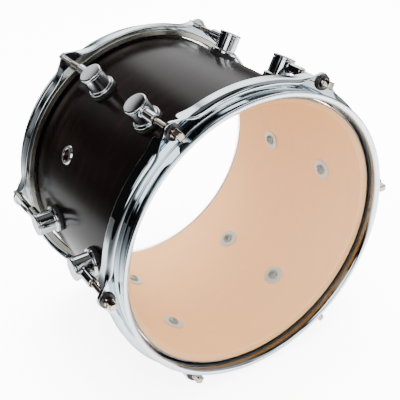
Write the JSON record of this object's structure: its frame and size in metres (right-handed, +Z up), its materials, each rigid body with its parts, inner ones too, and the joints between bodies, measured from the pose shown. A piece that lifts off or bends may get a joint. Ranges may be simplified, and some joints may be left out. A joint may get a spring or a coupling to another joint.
{
  "type": "tom drum",
  "caption": "Small tom drum on its side: dark stained wood shell, clear film heads held by chromed flanged hoops, tension rods and round barrel lugs, with a vent grommet.",
  "frame": {"origin": "on the floor under the middle of the drum, at the bottom centre of its box", "axes": "+Z up, the drum's axis along Y, the batter head facing -Y, as it lies on its two hoops"},
  "size_m": [0.2992, 0.221, 0.279],
  "materials": {
    "stained_maple": "dark satin stain outside, bare pale maple inside",
    "chromed_steel": "bright chrome",
    "chromed_casting": "bright chrome",
    "chromed_rod": "bright chrome",
    "chromed_grommet": "brass with bright chrome",
    "clear_film": "clear glossy polyester film",
    "aluminium_channel": "drawn",
    "clear_resin": "cast",
    "black_rubber": "moulded",
    "black_nylon": "moulded",
    "plain_steel": "zinc plated",
    "brass_nut": "turned"
  },
  "bodies": {
    "drum_shell": {"shell": "stained_maple", "vent_grommet": "chromed_grommet", "vent_grommet_ring": "chromed_grommet", "batter_lug_gaskets": "black_rubber", "batter_lug_nuts": "brass_nut", "batter_lug_screws": "plain_steel", "batter_screw_washers": "plain_steel", "batter_lug_1": "chromed_casting", "batter_lug_2": "chromed_casting", "batter_lug_3": "chromed_casting", "batter_lug_4": "chromed_casting", "batter_lug_5": "chromed_casting", "batter_lug_6": "chromed_casting", "resonant_lug_gaskets": "black_rubber", "resonant_lug_nuts": "brass_nut", "resonant_lug_screws": "plain_steel", "resonant_screw_washers": "plain_steel", "resonant_lug_1": "chromed_casting", "resonant_lug_2": "chromed_casting", "resonant_lug_3": "chromed_casting", "resonant_lug_4": "chromed_casting", "resonant_lug_5": "chromed_casting", "resonant_lug_6": "chromed_casting"},
    "batter_hoop": {"batter_hoop": "chromed_steel", "batter_nylon_washers": "black_nylon", "batter_steel_washers": "plain_steel"},
    "batter_head": {"batter_film_inner": "clear_film", "batter_film_outer": "clear_film", "batter_flesh_hoop": "aluminium_channel", "batter_resin": "clear_resin"},
    "batter_rod_1": {"batter_rod_1": "chromed_rod"},
    "batter_rod_2": {"batter_rod_2": "chromed_rod"},
    "batter_rod_3": {"batter_rod_3": "chromed_rod"},
    "batter_rod_4": {"batter_rod_4": "chromed_rod"},
    "batter_rod_5": {"batter_rod_5": "chromed_rod"},
    "batter_rod_6": {"batter_rod_6": "chromed_rod"},
    "resonant_hoop": {"resonant_hoop": "chromed_steel", "resonant_nylon_washers": "black_nylon", "resonant_steel_washers": "plain_steel"},
    "resonant_head": {"resonant_film": "clear_film", "resonant_flesh_hoop": "aluminium_channel", "resonant_resin": "clear_resin"},
    "resonant_rod_1": {"resonant_rod_1": "chromed_rod"},
    "resonant_rod_2": {"resonant_rod_2": "chromed_rod"},
    "resonant_rod_3": {"resonant_rod_3": "chromed_rod"},
    "resonant_rod_4": {"resonant_rod_4": "chromed_rod"},
    "resonant_rod_5": {"resonant_rod_5": "chromed_rod"},
    "resonant_rod_6": {"resonant_rod_6": "chromed_rod"}
  },
  "joints": [
    {"name": "batter_hoop_lift", "type": "slide", "parent": "drum_shell", "child": "batter_hoop", "axis": [0, -1, 0], "range_m": [0, 0.012]},
    {"name": "batter_head_lift", "type": "slide", "parent": "drum_shell", "child": "batter_head", "axis": [0, -1, 0], "range_m": [0, 0.006]},
    {"name": "batter_rod_1_turn", "type": "hinge", "parent": "batter_hoop", "child": "batter_rod_1", "pos_m": [0.071, -0.101, 0.26248], "axis": [0, -1, 0], "range_deg": [0, 5450]},
    {"name": "batter_rod_2_turn", "type": "hinge", "parent": "batter_hoop", "child": "batter_rod_2", "pos_m": [0.142, -0.101, 0.1395], "axis": [0, -1, 0], "range_deg": [0, 5450]},
    {"name": "batter_rod_3_turn", "type": "hinge", "parent": "batter_hoop", "child": "batter_rod_3", "pos_m": [0.071, -0.101, 0.01652], "axis": [0, -1, 0], "range_deg": [0, 5450]},
    {"name": "batter_rod_4_turn", "type": "hinge", "parent": "batter_hoop", "child": "batter_rod_4", "pos_m": [-0.071, -0.101, 0.01652], "axis": [0, -1, 0], "range_deg": [0, 5450]},
    {"name": "batter_rod_5_turn", "type": "hinge", "parent": "batter_hoop", "child": "batter_rod_5", "pos_m": [-0.142, -0.101, 0.1395], "axis": [0, -1, 0], "range_deg": [0, 5450]},
    {"name": "batter_rod_6_turn", "type": "hinge", "parent": "batter_hoop", "child": "batter_rod_6", "pos_m": [-0.071, -0.101, 0.26248], "axis": [0, -1, 0], "range_deg": [0, 5450]},
    {"name": "resonant_hoop_lift", "type": "slide", "parent": "drum_shell", "child": "resonant_hoop", "axis": [0, 1, 0], "range_m": [0, 0.012]},
    {"name": "resonant_head_lift", "type": "slide", "parent": "drum_shell", "child": "resonant_head", "axis": [0, 1, 0], "range_m": [0, 0.006]},
    {"name": "resonant_rod_1_turn", "type": "hinge", "parent": "resonant_hoop", "child": "resonant_rod_1", "pos_m": [0.071, 0.101, 0.26248], "axis": [0, 1, 0], "range_deg": [0, 5450]},
    {"name": "resonant_rod_2_turn", "type": "hinge", "parent": "resonant_hoop", "child": "resonant_rod_2", "pos_m": [0.142, 0.101, 0.1395], "axis": [0, 1, 0], "range_deg": [0, 5450]},
    {"name": "resonant_rod_3_turn", "type": "hinge", "parent": "resonant_hoop", "child": "resonant_rod_3", "pos_m": [0.071, 0.101, 0.01652], "axis": [0, 1, 0], "range_deg": [0, 5450]},
    {"name": "resonant_rod_4_turn", "type": "hinge", "parent": "resonant_hoop", "child": "resonant_rod_4", "pos_m": [-0.071, 0.101, 0.01652], "axis": [0, 1, 0], "range_deg": [0, 5450]},
    {"name": "resonant_rod_5_turn", "type": "hinge", "parent": "resonant_hoop", "child": "resonant_rod_5", "pos_m": [-0.142, 0.101, 0.1395], "axis": [0, 1, 0], "range_deg": [0, 5450]},
    {"name": "resonant_rod_6_turn", "type": "hinge", "parent": "resonant_hoop", "child": "resonant_rod_6", "pos_m": [-0.071, 0.101, 0.26248], "axis": [0, 1, 0], "range_deg": [0, 5450]}
  ],
  "couplings": [
    {"joint": "batter_head_lift", "follows": "batter_hoop_lift", "ratio": 0.5},
    {"joint": "batter_rod_1_turn", "follows": "batter_hoop_lift", "rad_per_m": 7915.8},
    {"joint": "batter_rod_2_turn", "follows": "batter_hoop_lift", "rad_per_m": 7915.8},
    {"joint": "batter_rod_3_turn", "follows": "batter_hoop_lift", "rad_per_m": 7915.8},
    {"joint": "batter_rod_4_turn", "follows": "batter_hoop_lift", "rad_per_m": 7915.8},
    {"joint": "batter_rod_5_turn", "follows": "batter_hoop_lift", "rad_per_m": 7915.8},
    {"joint": "batter_rod_6_turn", "follows": "batter_hoop_lift", "rad_per_m": 7915.8},
    {"joint": "resonant_head_lift", "follows": "resonant_hoop_lift", "ratio": 0.5},
    {"joint": "resonant_rod_1_turn", "follows": "resonant_hoop_lift", "rad_per_m": 7915.8},
    {"joint": "resonant_rod_2_turn", "follows": "resonant_hoop_lift", "rad_per_m": 7915.8},
    {"joint": "resonant_rod_3_turn", "follows": "resonant_hoop_lift", "rad_per_m": 7915.8},
    {"joint": "resonant_rod_4_turn", "follows": "resonant_hoop_lift", "rad_per_m": 7915.8},
    {"joint": "resonant_rod_5_turn", "follows": "resonant_hoop_lift", "rad_per_m": 7915.8},
    {"joint": "resonant_rod_6_turn", "follows": "resonant_hoop_lift", "rad_per_m": 7915.8}
  ]
}
